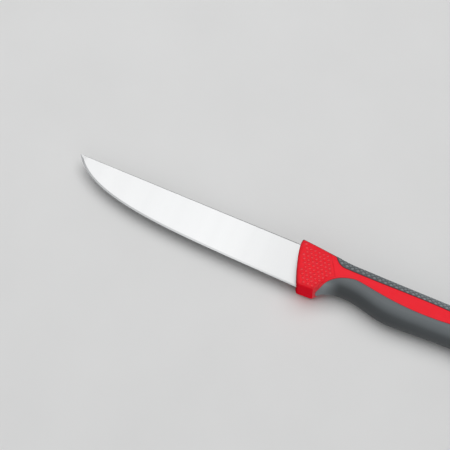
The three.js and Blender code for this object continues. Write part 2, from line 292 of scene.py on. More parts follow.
STEEL_GREYS = ((0.278, 0.279, 0.279, 1), (0.309, 0.31, 0.31, 1))
PAINTED_BEVEL_SHADE_TIP_TO_HEEL = ((0.16, 0.162, 0.164, 1), (0.25, 0.252, 0.254, 1))
PAINTED_HEEL_DIM_FROM = -45
PAINTED_BRIGHTNESS_TIP_TO_HEEL = (1.06, 0.945)
LINE_WIDTH = 0.09 * MM
LINE_STRETCH = (1, 0.02, 0.02)
LINE_ROUGHNESS = (-0.04, 0.04)
LINE_BUMP = 0.003 * MM
LINE_BUMP_STRENGTH = 0.5
CLOUD_SIZE = 9 * MM
CLOUD_ROUGHNESS = (0.26, 0.34)


def ease(x, low, high):
    """A smooth step from 0 at low to 1 at high."""
    share = np.clip((x - low) / (high - low), 0, 1)
    return share * share * (3 - 2 * share)


def mix(first, second, share):
    return first + (second - first) * share


def bezier(start, first, second, end, t):
    """Points of one cubic curve at the shares t of its run."""
    t = t[:, None]
    return (1 - t) ** 3 * start + 3 * (1 - t) ** 2 * t * first + 3 * (1 - t) * t * t * second + t ** 3 * end


def sweep(y):
    """Where the bolster's front lies at height y: square to the spine, then swept back."""
    share = np.maximum(SWEEP_TOP - y, 0) / (SWEEP_TOP + BOLSTER_DROP)
    return BOLSTER_SLANT * share ** SWEEP_CURVE


def blade_plan():
    """The blade and tang as one flat sheet of rows from spine to edge, with the facts that shape it."""
    heel_x = sweep(-HEEL_HEIGHT)
    shares = (np.arange(1, BLADE_STATIONS + 1) / BLADE_STATIONS) ** TIP_CROWDING
    edge = bezier(
        (-BLADE_LENGTH, 0), (TIP_REACH - BLADE_LENGTH, -TIP_FALL),
        (BELLY_REACH - BLADE_LENGTH, -BELLY_HEIGHT), (heel_x, -HEEL_HEIGHT), shares,
    )
    eased = 1 - np.cos(np.linspace(0, math.pi / 2, SPINE_ROWS))
    slants = np.hypot(1, np.gradient(edge[:, 1], edge[:, 0]))
    columns = []
    for (edge_x, edge_y), slant in zip(edge, slants):
        height = -edge_y
        lean = ease(edge_x, LEAN_START, heel_x)
        station = edge_x - lean * sweep(edge_y)
        half_thickness = mix(SPINE_THICKNESS, TIP_THICKNESS, max(-edge_x, 0) / BLADE_LENGTH) / 2
        rounding = min(half_thickness * SPINE_ROUND_SHARE, height * TIP_ROUND_SHARE)
        width = mix(BEVEL_WIDTH, HEEL_BEVEL_WIDTH, ease(edge_x, BELLY_REACH - BLADE_LENGTH, heel_x))
        bevel = min(width * slant, height * TIP_BEVEL_SHARE)
        face = np.linspace(rounding, height - bevel, FACE_ROWS)[1:]
        below = np.concatenate((eased * rounding, face, np.linspace(height - bevel, height, BEVEL_ROWS)[1:]))
        columns.append((station + lean * sweep(-below), -below, below, height - below, rounding, bevel, 0))
    rows = len(columns[0][0])
    heel_round = SPINE_THICKNESS / 2 * SPINE_ROUND_SHARE
    down = np.linspace(0, 1, rows)
    sheet_y = -HEEL_HEIGHT * down
    clear = np.full(rows, HEEL_HEIGHT)
    hidden = [(sweep(sheet_y) + inside, sheet_y) for inside in (HEEL_COVER, HEEL_INSERT)]
    tang_end = TANG_LENGTH - TANG_HEIGHT / 2
    bars = [(HEEL_INSERT + SHOULDER_LENGTH + sweep(sheet_y), 1), (tang_end, 1)]
    for turn in np.linspace(0, TANG_END_TURN * math.pi / 2, TANG_END_STEPS)[1:]:
        bars.append((tang_end + TANG_HEIGHT / 2 * math.sin(turn), math.cos(turn)))
    hidden += [
        (np.full(rows, along), -TANG_DEPTH + share * TANG_HEIGHT * (0.5 - down)) for along, share in bars
    ]
    return columns + [(x, y, clear, clear, heel_round, BEVEL_WIDTH, 1) for x, y in hidden]


def quads(index, turned=False):
    """Four-cornered faces over a grid of point numbers, wound the other way where turned."""
    corners = [index[:-1, :-1], index[1:, :-1], index[1:, 1:], index[:-1, 1:]]
    if turned:
        corners = [corners[i] for i in (0, 3, 2, 1)]
    return np.stack(corners, axis=-1).reshape(-1, 4).tolist()


def blade_sheet():
    """The plan as a mesh, its outermost points marked as the rim that joins both faces."""
    columns = blade_plan()
    first, last = columns[0], columns[-1]
    point = (np.full_like(first[0], -BLADE_LENGTH), first[1] * TIP_POINT_SHARE, *first[2:])
    columns = [point] + columns + [last]
    points, facts = [], []
    for i, (x, y, below, above, rounding, bevel, tang) in enumerate(columns):
        rim_column = i in (0, len(columns) - 1)
        order = [0, *range(len(x)), len(x) - 1]
        for j, k in enumerate(order):
            rim = rim_column or j in (0, len(order) - 1)
            points.append((x[k] * MM + START[0], y[k] * MM + START[1], 0))
            facts.append((below[k] * MM, above[k] * MM, rounding * MM, bevel * MM, tang, float(rim)))
    index = np.arange(len(points)).reshape(len(columns), -1)
    sheet = piece_from("ground_blade", points, quads(index, turned=True))
    names = ("below_spine", "above_edge", "spine_round", "bevel_width", "tang", "rim")
    for name, values in zip(names, zip(*facts)):
        layer = sheet.data.attributes.new(name, "FLOAT", "POINT")
        layer.data.foreach_set("value", values)
    return sheet


def split(tree, vector):
    """The sockets X, Y and Z of a vector."""
    return node(tree, "ShaderNodeSeparateXYZ", {0: vector}, None)


def joined(tree, axes):
    """A vector from some of its X, Y and Z, the others being nought."""
    return node(tree, "ShaderNodeCombineXYZ", axes)


def place_in_drawing(tree):
    """A point of the piece in the drawing's millimetres: the sockets X, Y and Z."""
    scale = {"Scale": (1 / MM, 1 / MM, 1 / MM), "Location": -START / MM}
    return split(tree, node(tree, "ShaderNodeMapping", {"Vector": own_place(tree), **scale}))


def scaled(tree, colour, share):
    """A colour made lighter or darker by a value."""
    return node(tree, "ShaderNodeVectorMath", {0: colour, "Scale": share}, operation="SCALE")


def own_fact(tree, name):
    """An attribute of the piece, read inside a material."""
    return node(tree, "ShaderNodeAttribute", {}, "Fac", attribute_name=name)


def steel_finish():
    """Stainless steel with fine grinding lines across the blade, from spine to edge, and painted light:
    brighter towards the tip, dimmer near the heel, with a darker bevel.
    """
    material, tree, shader = new_finish("ground_steel")
    lines, cloud = mottle(tree, LINE_WIDTH, CLOUD_SIZE, LINE_STRETCH)
    on_bevel = reckon(tree, "LESS_THAN", own_fact(tree, "above_edge"), own_fact(tree, "bevel_width"))
    along = place_in_drawing(tree)["X"]
    # Painted reflection: the ground steel is painted brighter towards the tip and dimmer near the heel.
    painted_heel_dim = step_between(tree, along, PAINTED_HEEL_DIM_FROM, 0)
    painted_brightness = spread(tree, painted_heel_dim, *PAINTED_BRIGHTNESS_TIP_TO_HEEL)
    ground = scaled(tree, tint(tree, lines, *STEEL_GREYS), painted_brightness)
    # Painted shade: the bevel is painted darker than the flat, darkest at the tip.
    bevel = tint(tree, step_between(tree, along, -BLADE_LENGTH, 0), *PAINTED_BEVEL_SHADE_TIP_TO_HEEL)
    rough_lines = spread(tree, lines, *LINE_ROUGHNESS)
    feed(tree, shader, {
        "Base Color": tint(tree, on_bevel, ground, bevel),
        "Roughness": reckon(tree, "ADD", rough_lines, spread(tree, cloud, *CLOUD_ROUGHNESS)),
        "Metallic": 1.0,
    })
    raise_grain(tree, shader, lines, LINE_BUMP, LINE_BUMP_STRENGTH)
    return material


def named_fact(tree, name, kind="FLOAT"):
    """An attribute of the piece, read inside a geometry tree."""
    return node(tree, "GeometryNodeInputNamedAttribute", {"Name": name}, "Attribute", data_type=kind)


def geometry_tree(name, floats, others):
    """An empty geometry tree with an input for each size; gives the tree, its inputs and its end."""
    given = {"Geometry": "Geometry", **dict.fromkeys(floats, "Float"), **others}
    return new_tree(name, "GeometryNodeTree", given, {"Geometry": "Geometry"})


def sums(tree):
    """Short names for the four plain sums in a tree: plus, minus, times and over."""
    return [partial(reckon, tree, name) for name in ("ADD", "SUBTRACT", "MULTIPLY", "DIVIDE")]


def end_tree(tree, end, geometry, material):
    """Ends a geometry tree: every copy is made real and gets the material."""
    realized = node(tree, "GeometryNodeRealizeInstances", {"Geometry": geometry})
    finished = node(tree, "GeometryNodeSetMaterial", {"Geometry": realized, "Material": material})
    feed(tree, end, {"Geometry": finished})


def grind_tree():
    """Gives a flat sheet its thickness by the grinder's rule, then closes it with its other face."""
    tree, sizes, end = geometry_tree("ground_blade", (
        "Sheet Thickness", "Tip Thickness", "Ground Thickness", "Edge Thickness", "Length", "Height",
        "Front", "Middle", "Tip Slimness",
    ), {"Steel": "Material"})
    plus, minus, times, over = sums(tree)
    place = split(tree, node(tree, "GeometryNodeInputPosition", {}))
    below, above = named_fact(tree, "below_spine"), named_fact(tree, "above_edge")
    half_sheet = times(sizes["Sheet Thickness"], 0.5)
    tip_loss = minus(half_sheet, times(sizes["Tip Thickness"], 0.5))
    edge_loss = minus(half_sheet, times(sizes["Ground Thickness"], 0.5))
    along = over(minus(sizes["Front"], place["X"]), sizes["Length"])
    tip_taper = times(tip_loss, reckon(tree, "MAXIMUM", along, 0.0))
    edge_taper = times(edge_loss, over(below, sizes["Height"]))
    ground = minus(minus(half_sheet, tip_taper), edge_taper)
    is_tang = named_fact(tree, "tang")
    full = plus(times(ground, minus(1.0, is_tang)), times(half_sheet, is_tang))
    half_edge = times(sizes["Edge Thickness"], 0.5)
    slim = times(plus(below, above), sizes["Tip Slimness"])
    half = reckon(tree, "MINIMUM", full, plus(half_edge, slim))
    rounding = named_fact(tree, "spine_round")
    near = reckon(tree, "MAXIMUM", minus(1.0, over(below, rounding)), 0.0)
    arc = reckon(tree, "SQRT", minus(1.0, times(near, near)))
    eased = minus(half, times(rounding, minus(1.0, arc)))
    share = reckon(tree, "MINIMUM", over(above, named_fact(tree, "bevel_width")), 1.0)
    rise = times(minus(eased, half_edge), share)
    height = times(plus(half_edge, rise), minus(1.0, named_fact(tree, "rim")))
    both = tree.nodes.new("GeometryNodeJoinGeometry")
    for side in (1, -1):
        inputs = {"Geometry": sizes["Geometry"], "Offset": joined(tree, {"Z": times(height, side)})}
        face = node(tree, "GeometryNodeSetPosition", inputs)
        if side == -1:
            face = node(tree, "GeometryNodeFlipFaces", {"Mesh": face})
        feed(tree, both, {"Geometry": face})
    inputs = {"Geometry": both.outputs[0], "Distance": MERGE_REACH}
    closed = node(tree, "GeometryNodeMergeByDistance", inputs)
    inputs = {"Geometry": closed, "Translation": joined(tree, {"Z": sizes["Middle"]})}
    end_tree(tree, end, node(tree, "GeometryNodeTransform", inputs), sizes["Steel"])
    return tree


def grow(piece, tree, values):
    """Runs a geometry tree on a piece and keeps the result as its plain mesh."""
    modifier = piece.modifiers.new(tree.name, "NODES")
    modifier.node_group = tree
    for socket in tree.interface.items_tree:
        if socket.in_out == "INPUT" and socket.name in values:
            modifier[socket.identifier] = values[socket.name]
    grown = piece.evaluated_get(bpy.context.evaluated_depsgraph_get())
    plain = bpy.data.meshes.new_from_object(grown)
    piece.modifiers.remove(modifier)
    finish = plain.materials[-1]
    plain.materials.clear()
    plain.materials.append(finish)
    plain.polygons.foreach_set("material_index", [0] * len(plain.polygons))
    rough, piece.data = piece.data, plain
    bpy.data.meshes.remove(rough)


def smooth(piece, crease):
    """Smooth shading that keeps edges sharper than the crease angle, in degrees."""
    piece.data.shade_smooth()
    piece.data.set_sharp_from_angle(angle=math.radians(crease))


blade = blade_sheet()
grow(blade, grind_tree(), {
    "Sheet Thickness": SPINE_THICKNESS * MM,
    "Tip Thickness": TIP_THICKNESS * MM,
    "Ground Thickness": GROUND_THICKNESS * MM,
    "Edge Thickness": EDGE_THICKNESS * MM,
    "Length": BLADE_LENGTH * MM,
    "Height": (HEEL_HEIGHT - HEEL_BEVEL_WIDTH) * MM,
    "Front": float(START[0]),
    "Middle": float(START[2]),
    "Tip Slimness": TIP_SLIMNESS,
    "Steel": steel_finish(),
})
smooth(blade, BLADE_CREASE)
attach(blade, "root")
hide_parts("blade")


# Handle core: hard red plastic moulded around the tang. It shows as the bolster, as a strip along
# each flank and as the butt, and lies lower under the two soft grips that are moulded onto it.
HANDLE_LENGTH = 128
HANDLE_THICKNESS = 18.4
BOLSTER_CROWN = 0.15
FLANK_CROWN = 0.5
BOLSTER_RISE = 1.2
BOLSTER_REAR_DROP = 25.6
BOLSTER_LENGTH = 17
FRONT_ROUND = 0.8
FRONT_STEPS = 8
BACK_DROP = 0.6
BACK_BLEND = 32
BACK_SHARPNESS = 1.3
NOTCH_X = 33.5
NOTCH_DROP = 19.7
NOTCH_SHARPNESS = 2.5
PALM_X = 61
PALM_DROP = 24.4
WAIST_X = 100
WAIST_DROP = 22.9
HOOK_INSET = 12
HOOK_X = HANDLE_LENGTH - HOOK_INSET
HOOK_DROP = 25.4
BUTT_ROUND = 11
BUTT_BLUNTNESS = 0.8
BUTT_START = HANDLE_LENGTH - BUTT_ROUND
BUTT_STEPS = 30
BUTT_TURN = 0.985
BACK_SQUARENESS = (6.2, 2.4)
BELLY_SQUARENESS = (8, 2.3)
BACK_ROUND_FROM = 34
BELLY_SOFT_FROM = 14
BELLY_ROUND_FROM = 21
BACK_GRIP_START = 18.7
BACK_GRIP_SWEEP = 10.5
BACK_GRIP_LIFT = 0.3
BELLY_GRIP_NOSE = 18.2
BELLY_GRIP_START = 20
BELLY_GRIP_DROP = 21.9
BELLY_GRIP_LEAN = 2.8
NOSE_BLUNTNESS = 0.4
NOSE_LEAST_SLANT = 0.12
NOSE_POINT = 0.001
STRIP_NECK_X = 36.7
STRIP_NECK_TOP = 6.5
STRIP_NECK_BOTTOM = 10.5
STRIP_MIDDLE_X = 76
STRIP_MIDDLE_TOP = 6
STRIP_MIDDLE_BOTTOM = 14.4
STRIP_END_X = 110
STRIP_END_TOP = 7.2
STRIP_END_BOTTOM = 11.8
STRIP_EASE = (STRIP_MIDDLE_X - STRIP_NECK_X) / 2
NECK_EASE = 5.5
END_EASE = 10
GRIP_END_INSET = 9
GRIP_END = HANDLE_LENGTH - GRIP_END_INSET
GRIP_BED = 1.6
LEAST_GRIP = 0.01
CURVE_STEPS = 60
SLANT_SPAN = 0.02
SHOWN_STEPS = 64
BED_STEPS = 12
EDGE_STEPS = np.array((0, 0.02, 0.05, 0.09, 0.14, 0.2, 0.28, 0.4))
NOSE_STEPS = np.array((0, 0.01, 0.04, 0.09, 0.16, 0.25, 0.4))
STATION_STEPS = (0.6, 0.3, 1.0, 0.4)
NOTCH_LEAD = 1
NOTCH_TRAIL = 4
TAIL_REACH = 3
TAIL_SKIP = 4
LEAST_STEP = 0.004
SLIVER_REACH = 0.0004 * MM
CORE_CREASE = 35
CORE_EDGE_ROUND = 0.25
STRIP_SINK = 0.2
NO_SEAM = 9.0
SEAM_REACH = 0.5
SEAM_BREAKS = (0.7, 1.1)
BELLY_SEAM_SHADE = 0.3
PIP_HEIGHT = 0.45
PIP_MARGIN = 1.7
PIP_BED_EASE = 1.2
PIP_BACK_RIM = 0.8
PIP_END = 18.2
PIP_END_LEAN = 0.61
PIP_BED_SHADE = 0.07
PIP_RIM_SHADE = 0.15
FRONT_SEAM_SHADE = 0.6
FRONT_SEAM_REACH = 1.3
REDS = ((0.93, 0.022, 0.038, 1), (0.98, 0.030, 0.046, 1))
PAINTED_SIDE_RED = (0.98, 0.010, 0.026, 1)
RED_SHADED = (0.10, 0.002, 0.004, 1)
PAINTED_SHADE_RED = (0.05, 0.002, 0.003, 1)
RED_GRAIN = 0.35 * MM
RED_BLOTCH = 6 * MM
RED_ROUGHNESS = (0.46, 0.60)
RED_GLOW = 1.5 * MM
RED_GLOW_TINT = (1, 0.1, 0.1)
CORE_GLOSS = 0.06
CORE_GLOW = 0.4
FLANK_TURN = (0.35, 0.85)
SHADED_TOWARDS = (-0.6, 0.8, 0)
SHADED_TURN = (0.42, 0.62)
SLOPE_TURN = (0.35, 0.6)
PAINTED_SLOPE_HIGHLIGHT = 0.45
MOULD_BUMP = 0.02 * MM
MOULD_BUMP_STRENGTH = 0.5


def back_line(x):
    remaining = max(1 - max(x, 0) / BACK_BLEND, 0)
    return mix(-BACK_DROP, BOLSTER_RISE, remaining ** BACK_SHARPNESS)


def belly_line(x):
    if x <= BOLSTER_LENGTH:
        return -mix(BOLSTER_DROP, BOLSTER_REAR_DROP, max(x, 0) / BOLSTER_LENGTH)
    if x <= NOTCH_X:
        remaining = (NOTCH_X - x) / (NOTCH_X - BOLSTER_LENGTH)
        return -mix(NOTCH_DROP, BOLSTER_REAR_DROP, remaining ** NOTCH_SHARPNESS)
    if x <= PALM_X:
        return -mix(NOTCH_DROP, PALM_DROP, ease(x, NOTCH_X, PALM_X))
    if x <= WAIST_X:
        return -mix(PALM_DROP, WAIST_DROP, ease(x, PALM_X, WAIST_X))
    return -mix(WAIST_DROP, HOOK_DROP, ease(x, WAIST_X, HOOK_X))


def run_of(curves):
    """A run of cubic curves as one dense line of plan points, from the front to the butt."""
    shares = np.linspace(0, 1, CURVE_STEPS)
    line = np.concatenate([bezier(*curve, shares) for curve in curves])
    return line[np.argsort(line[:, 0], kind="stable")]


def level_curve(start, leaving, arriving, end):
    """A cubic curve that runs along the handle at both of its ends."""
    return start, (start[0] + leaving, start[1]), (end[0] - arriving, end[1]), end


neck_bend = BACK_GRIP_START + BACK_GRIP_SWEEP / 3
back_grip_y = back_line(BACK_GRIP_START) + BACK_GRIP_LIFT
neck_top = (STRIP_NECK_X, -STRIP_NECK_TOP)
neck_bottom = (STRIP_NECK_X, -STRIP_NECK_BOTTOM)
middle_top = (STRIP_MIDDLE_X, -STRIP_MIDDLE_TOP)
middle_bottom = (STRIP_MIDDLE_X, -STRIP_MIDDLE_BOTTOM)
end_top = (STRIP_END_X, -STRIP_END_TOP)
end_bottom = (STRIP_END_X, -STRIP_END_BOTTOM)
BACK_BORDER = run_of([
    ((BACK_GRIP_START, back_grip_y), (neck_bend, back_grip_y), (neck_bend, -STRIP_NECK_TOP),
     (BACK_GRIP_START + BACK_GRIP_SWEEP, -STRIP_NECK_TOP)),
    level_curve(neck_top, STRIP_EASE, STRIP_EASE, middle_top),
    level_curve(middle_top, STRIP_EASE, END_EASE, end_top),
    (end_top, (STRIP_END_X + NECK_EASE, -STRIP_END_TOP), (GRIP_END, -STRIP_END_TOP / 2),
     (GRIP_END, back_line(GRIP_END))),
])
BELLY_BORDER = run_of([
    ((BELLY_GRIP_START, -BELLY_GRIP_DROP),
     (BELLY_GRIP_START + BELLY_GRIP_LEAN, -STRIP_NECK_BOTTOM - BELLY_GRIP_LEAN),
     (STRIP_NECK_X - BELLY_GRIP_LEAN, -STRIP_NECK_BOTTOM), neck_bottom),
    level_curve(neck_bottom, NECK_EASE, STRIP_EASE, middle_bottom),
    level_curve(middle_bottom, STRIP_EASE, END_EASE, end_bottom),
    (end_bottom, (STRIP_END_X + NECK_EASE, -STRIP_END_BOTTOM),
     (GRIP_END, -STRIP_END_BOTTOM - NECK_EASE), (GRIP_END, -HOOK_DROP)),
])


class Section:
    """Half of the handle's outline at one station, from the middle of the back to that of the belly."""

    SAMPLES = 900
    CORNER_WEIGHT = 4.0

    def __init__(self, x, inset=0.0, swept=0.0):
        self.x, self.swept = x, swept
        shrink = 1.0
        if x > BUTT_START:
            turn = math.asin(min((x - BUTT_START) / BUTT_ROUND, 1))
            shrink = math.cos(turn) ** BUTT_BLUNTNESS
        back, belly = back_line(x) - inset, belly_line(x) + inset
        middle, half = (back + belly) / 2, (back - belly) / 2 * shrink
        swell = mix(BOLSTER_CROWN, FLANK_CROWN, ease(x, BOLSTER_LENGTH, PALM_X))
        crown = (HANDLE_THICKNESS / 2 + swell - inset) * shrink
        flank = HANDLE_THICKNESS / 2 - inset
        rounder = ease(x, FRONT_ROUND, BACK_ROUND_FROM)
        notch = ease(x, BELLY_SOFT_FROM, BELLY_ROUND_FROM)
        turns = np.linspace(0, math.pi, self.SAMPLES)
        across, up = np.cos(turns), np.sin(turns)
        up[-1] = 0
        squareness = np.where(across > 0, mix(*BACK_SQUARENESS, rounder), mix(*BELLY_SQUARENESS, notch))
        reach = (np.abs(across) ** squareness + np.abs(up) ** squareness) ** (-1 / squareness)
        self.y = middle + half * reach * across
        self.z = np.minimum(crown * reach * up, flank)
        steps = np.hypot(np.diff(self.y), np.diff(self.z))
        self.along = np.concatenate(([0], np.cumsum(steps)))
        slope_y, slope_z = np.gradient(self.y), np.gradient(self.z)
        slope_y[0] = slope_y[-1] = 0
        slope_z[0], slope_z[-1] = 1, -1
        size = np.hypot(slope_y, slope_z)
        self.normal_y, self.normal_z = slope_z / size, -slope_y / size
        turning = np.abs(np.diff(np.unwrap(np.arctan2(slope_z, slope_y))))
        self.weight = np.concatenate(([0], np.cumsum(steps + self.CORNER_WEIGHT * turning)))
        self.length = self.along[-1]

    def at_height(self, y):
        """How far along the outline the height y lies."""
        return float(np.interp(-y, -self.y, self.along))

    def spaced(self, start, end, count):
        """Places from start to end, closer together where the outline turns."""
        low, high = np.interp((start, end), self.along, self.weight)
        return np.interp(np.linspace(low, high, count), self.weight, self.along)

    def points(self, places, depth=0.0):
        """Points of the drawing at these places, sunk by depth below the skin."""
        y, z, normal_y, normal_z = (
            np.interp(places, self.along, values)
            for values in (self.y, self.z, self.normal_y, self.normal_z)
        )
        y, z = y - depth * normal_y, z - depth * normal_z
        return np.stack((self.x + self.swept * sweep(y), y, z), axis=-1)


NOSE_SECTION = Section(BELLY_GRIP_START)
NOSE_HALF_WIDTH = NOSE_SECTION.length - NOSE_SECTION.at_height(-BELLY_GRIP_DROP)


def border_at(line, x):
    """Height of a grip's border at x, and how much its slant shortens a distance across it."""
    behind, height, ahead = np.interp((x - SLANT_SPAN, x, x + SLANT_SPAN), line[:, 0], line[:, 1])
    return float(height), 1 / math.hypot(1, (ahead - behind) / (2 * SLANT_SPAN))


def rolled(distance, radius):
    """How far a rounded edge of this radius drops at a distance from the border."""
    short = np.clip(radius - distance, 0, radius)
    return radius - np.sqrt(radius * radius - short * short)


def between(section, start, end, count):
    """Places from one border to the other, crowded at both, where the edges are rolled."""
    room = min(1, (end - start) / (4 * EDGE_STEPS[-1]))
    steps = EDGE_STEPS * room
    inner = section.spaced(start + steps[-1], end - steps[-1], count)[1:-1]
    return np.concatenate((start + steps, inner, (end - steps)[::-1]))


def mirrored(points):
    return points * np.array((1, 1, -1))


def stations():
    """Where the outline is drawn: closely at the bolster's rear, at the grips' ends and at the butt."""
    marks = (FRONT_ROUND, BOLSTER_LENGTH - NOTCH_LEAD, NOTCH_X + NOTCH_TRAIL, STRIP_END_X, GRIP_END)
    even = [np.arange(start, end, step) for start, end, step in zip(marks, marks[1:], STATION_STEPS)]
    butt = BUTT_START + BUTT_ROUND * np.sin(np.linspace(0, BUTT_TURN * math.pi / 2, BUTT_STEPS))
    ends = [BACK_GRIP_START, BELLY_GRIP_START, GRIP_END - LEAST_GRIP, GRIP_END + LEAST_GRIP]
    borders = (BACK_BORDER, BELLY_BORDER)
    tails = [line[line[:, 0] > GRIP_END - TAIL_REACH, 0][::TAIL_SKIP] for line in borders]
    nose = BELLY_GRIP_NOSE + NOSE_STEPS
    chosen = np.unique(np.concatenate((*even, butt[butt > BUTT_START], ends, nose, *tails)))
    return [x for x, after in zip(chosen, np.append(chosen[1:], math.inf)) if after - x > LEAST_STEP]


def grip_limits(section):
    """Where the back grip ends and the belly grip begins on this outline, each with its border's slant."""
    x = section.x
    back_end, back_slant, belly_start, belly_slant = 0.0, 1.0, section.length, 1.0
    if BACK_GRIP_START <= x <= GRIP_END:
        height, back_slant = border_at(BACK_BORDER, x)
        back_end = section.at_height(height)
    if BELLY_GRIP_NOSE <= x < BELLY_GRIP_START:
        behind = x - BELLY_GRIP_NOSE
        share = max(behind, NOSE_POINT) / (BELLY_GRIP_START - BELLY_GRIP_NOSE)
        half_width = NOSE_HALF_WIDTH * share ** NOSE_BLUNTNESS
        belly_start = section.length - half_width
        belly_slant = 1 / math.hypot(1, NOSE_BLUNTNESS * half_width / (behind + NOSE_POINT))
        belly_slant = max(belly_slant, NOSE_LEAST_SLANT)
    if BELLY_GRIP_START <= x <= GRIP_END:
        height, belly_slant = border_at(BELLY_BORDER, x)
        belly_start = section.at_height(height)
    return (back_end, back_slant), (belly_start, belly_slant)


def pip_room(section, places, ahead=0.0):
    """How far the flank's points lie inside the field of the pips, measured in plan."""
    x, y, _ = section.points(places).T + np.array([[ahead], [0], [0]])
    gaps = [
        x - sweep(y), PIP_END - PIP_END_LEAN * y - x,
        back_line(section.x) - PIP_BACK_RIM - y, y - belly_line(section.x),
    ]
    for border in (BACK_BORDER, BELLY_BORDER):
        gaps.append(np.hypot(x[:, None] - border[:, 0], y[:, None] - border[:, 1]).min(axis=1))
    under_grip = y < np.interp(x, BELLY_BORDER[:, 0], BELLY_BORDER[:, 1], left=-BOLSTER_DROP)
    return np.where(under_grip, 0, np.min(gaps, axis=0))


def pip_bed(section, places, ahead=0.0):
    """How deep the bolster's flanks are sunk under the pips, which end flush with the rest."""
    return PIP_HEIGHT * ease(pip_room(section, places, ahead), PIP_MARGIN - PIP_BED_EASE, PIP_MARGIN)


def seam_near(distance):
    """How much of a seam's painted shade lies at this distance from it."""
    return np.clip(1 - distance / SEAM_REACH, 0, 1)


def core_line(section):
    """The core's skin from back to belly at one station: the bed of each grip, and the red between, with the
    painted shade of each point.
    """
    (back_end, back_slant), (belly_start, belly_slant) = grip_limits(section)
    has_back, has_belly = back_end > LEAST_GRIP, belly_start < section.length - LEAST_GRIP
    places = between(section, back_end, belly_start, SHOWN_STEPS)
    from_back = (places - back_end) * back_slant if has_back else np.full_like(places, NO_SEAM)
    from_belly = (belly_start - places) * belly_slant if has_belly else np.full_like(places, NO_SEAM)
    edge_drop = rolled(np.minimum(from_back, from_belly), CORE_EDGE_ROUND)
    before_end = 1 - ease(section.x, STRIP_END_X, GRIP_END)
    in_strip = ease(section.x, BELLY_GRIP_START, STRIP_NECK_X) * before_end
    bed = pip_bed(section, places)
    shown = section.points(places, mix(edge_drop, STRIP_SINK, in_strip) + bed)
    back_bed, belly_bed = [
        section.points(np.linspace(start, end, BED_STEPS), GRIP_BED if has_grip else 0)
        for start, end, has_grip in ((0, back_end, has_back), (belly_start, section.length, has_belly))
    ]
    # Painted shade: darker in the pip bed and along its rim, along the bolster's front where it meets the
    # steel, along each grip's seam, and full shade on the hidden beds under the grips.
    bed_share = bed / PIP_HEIGHT
    bed_shade = PIP_BED_SHADE * bed_share + PIP_RIM_SHADE * 4 * bed_share * (1 - bed_share)
    front_shade = np.full_like(places, FRONT_SEAM_SHADE * max(1 - section.x / FRONT_SEAM_REACH, 0))
    belly_shade = BELLY_SEAM_SHADE * seam_near(from_belly)
    shade = np.max([bed_shade, front_shade, seam_near(from_back), belly_shade], axis=0)
    hidden = np.ones(BED_STEPS)
    return np.concatenate((back_bed, shown, belly_bed)), np.concatenate((hidden, shade, hidden))


def closed_body(name, tops, bottoms, painted_shades, material):
    """A body between two sheets of points, drawn station by station, closed along all four sides."""
    tops, bottoms = np.array(tops), np.array(bottoms)
    count, across = tops.shape[:2]
    points = in_place(np.concatenate((tops.reshape(-1, 3), bottoms.reshape(-1, 3))))
    top = np.arange(count * across).reshape(count, across)
    bottom = top + count * across
    faces = quads(top, turned=True) + quads(bottom)
    for end in (0, -1):
        faces += quads(np.stack((top[:, end], bottom[:, end]), axis=-1))
        faces += quads(np.stack((top[end], bottom[end])))
    body = piece_from(name, points, faces, material)
    layer = body.data.attributes.new("painted_shade", "FLOAT", "POINT")
    layer.data.foreach_set("value", np.concatenate((np.ravel(painted_shades[0]), np.ravel(painted_shades[1]))))
    shape = bmesh.new()
    shape.from_mesh(body.data)
    bmesh.ops.remove_doubles(shape, verts=shape.verts, dist=MERGE_REACH)
    bmesh.ops.dissolve_degenerate(shape, edges=shape.edges, dist=SLIVER_REACH)
    bmesh.ops.recalc_face_normals(shape, faces=shape.faces)
    shape.to_mesh(body.data)
    shape.free()
    return body


def seam_group():
    """Painted shade that gathers in seams and hollows, broken up by the grain of the surface."""
    group, given, end = new_tree(
        "seam_shade", "ShaderNodeTree", {"Seam": "Float", "Grain": "Float"}, {"Shade": "Float"},
    )
    broken = reckon(group, "MULTIPLY", given["Seam"], spread(group, given["Grain"], *SEAM_BREAKS))
    feed(group, end, {"Shade": reckon(group, "MINIMUM", broken, 1.0)})
    return group


SEAM_SHADE = seam_group()


def seam_shade(tree, grain):
    """The painted shade on this piece, read from its own attribute."""
    inputs = {"Seam": own_fact(tree, "painted_shade"), "Grain": grain}
    return node(tree, "ShaderNodeGroup", inputs, node_tree=SEAM_SHADE)


